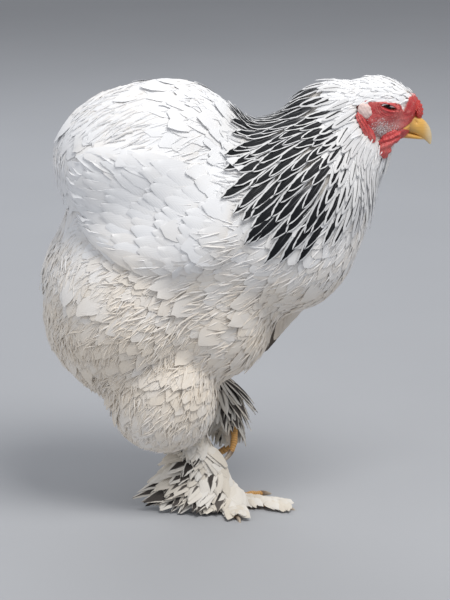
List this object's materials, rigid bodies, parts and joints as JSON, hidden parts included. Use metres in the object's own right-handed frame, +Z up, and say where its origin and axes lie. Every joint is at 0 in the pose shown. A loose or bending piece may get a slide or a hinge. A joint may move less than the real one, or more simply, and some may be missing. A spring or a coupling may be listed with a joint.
{
  "type": "brahma hen, life-size model",
  "caption": "Life-size still model of a light brahma hen stepping forward on one feathered foot, with a laced hackle, pea comb, folded wings and a short cushioned tail",
  "frame": {"origin": "The middle of the sole of the standing right foot, on the floor", "axes": "+X is the way the hen faces, +Z is up, and her right side is at -Y"},
  "size_m": [0.4081, 0.207, 0.4649],
  "materials": {
    "white_feather": "soft white feathers, cool on top and cream below",
    "laced_hackle": "black hackle feathers laced with white, white near the head",
    "foot_feather": "white and black striped foot feathers",
    "face_skin": "soft red pebbled skin",
    "ear_skin": "pale pink downy ear patch",
    "beak_horn": "smooth yellow horn",
    "eye_surface": "wet dark brown eye",
    "toe_skin": "orange yellow scaled skin",
    "claw_horn": "brown horn"
  },
  "bodies": {
    "root": {"torso": "white_feather", "neck": "laced_hackle", "tail": "white_feather", "wing_right": "white_feather", "wing_left": "white_feather", "thigh_right": "white_feather", "thigh_left": "white_feather", "shank_right": "foot_feather", "shank_left": "foot_feather", "foot_feathers_right": "foot_feather", "foot_feathers_left": "foot_feather", "head": "face_skin", "comb": "face_skin", "wattle_right": "face_skin", "wattle_left": "face_skin", "earlobe_right": "face_skin", "earlobe_left": "face_skin", "ear_right": "ear_skin", "ear_left": "ear_skin", "eye_right": "eye_surface", "eye_left": "eye_surface", "beak_upper": "beak_horn", "beak_lower": "beak_horn", "foot_right": "toe_skin", "foot_left": "toe_skin", "toe_inner_right": "toe_skin", "toe_middle_right": "toe_skin", "toe_outer_right": "toe_skin", "toe_hind_right": "toe_skin", "toe_inner_left": "toe_skin", "toe_middle_left": "toe_skin", "toe_outer_left": "toe_skin", "toe_hind_left": "toe_skin", "claw_inner_right": "claw_horn", "claw_middle_right": "claw_horn", "claw_outer_right": "claw_horn", "claw_hind_right": "claw_horn", "claw_inner_left": "claw_horn", "claw_middle_left": "claw_horn", "claw_outer_left": "claw_horn", "claw_hind_left": "claw_horn"}
  },
  "joints": []
}
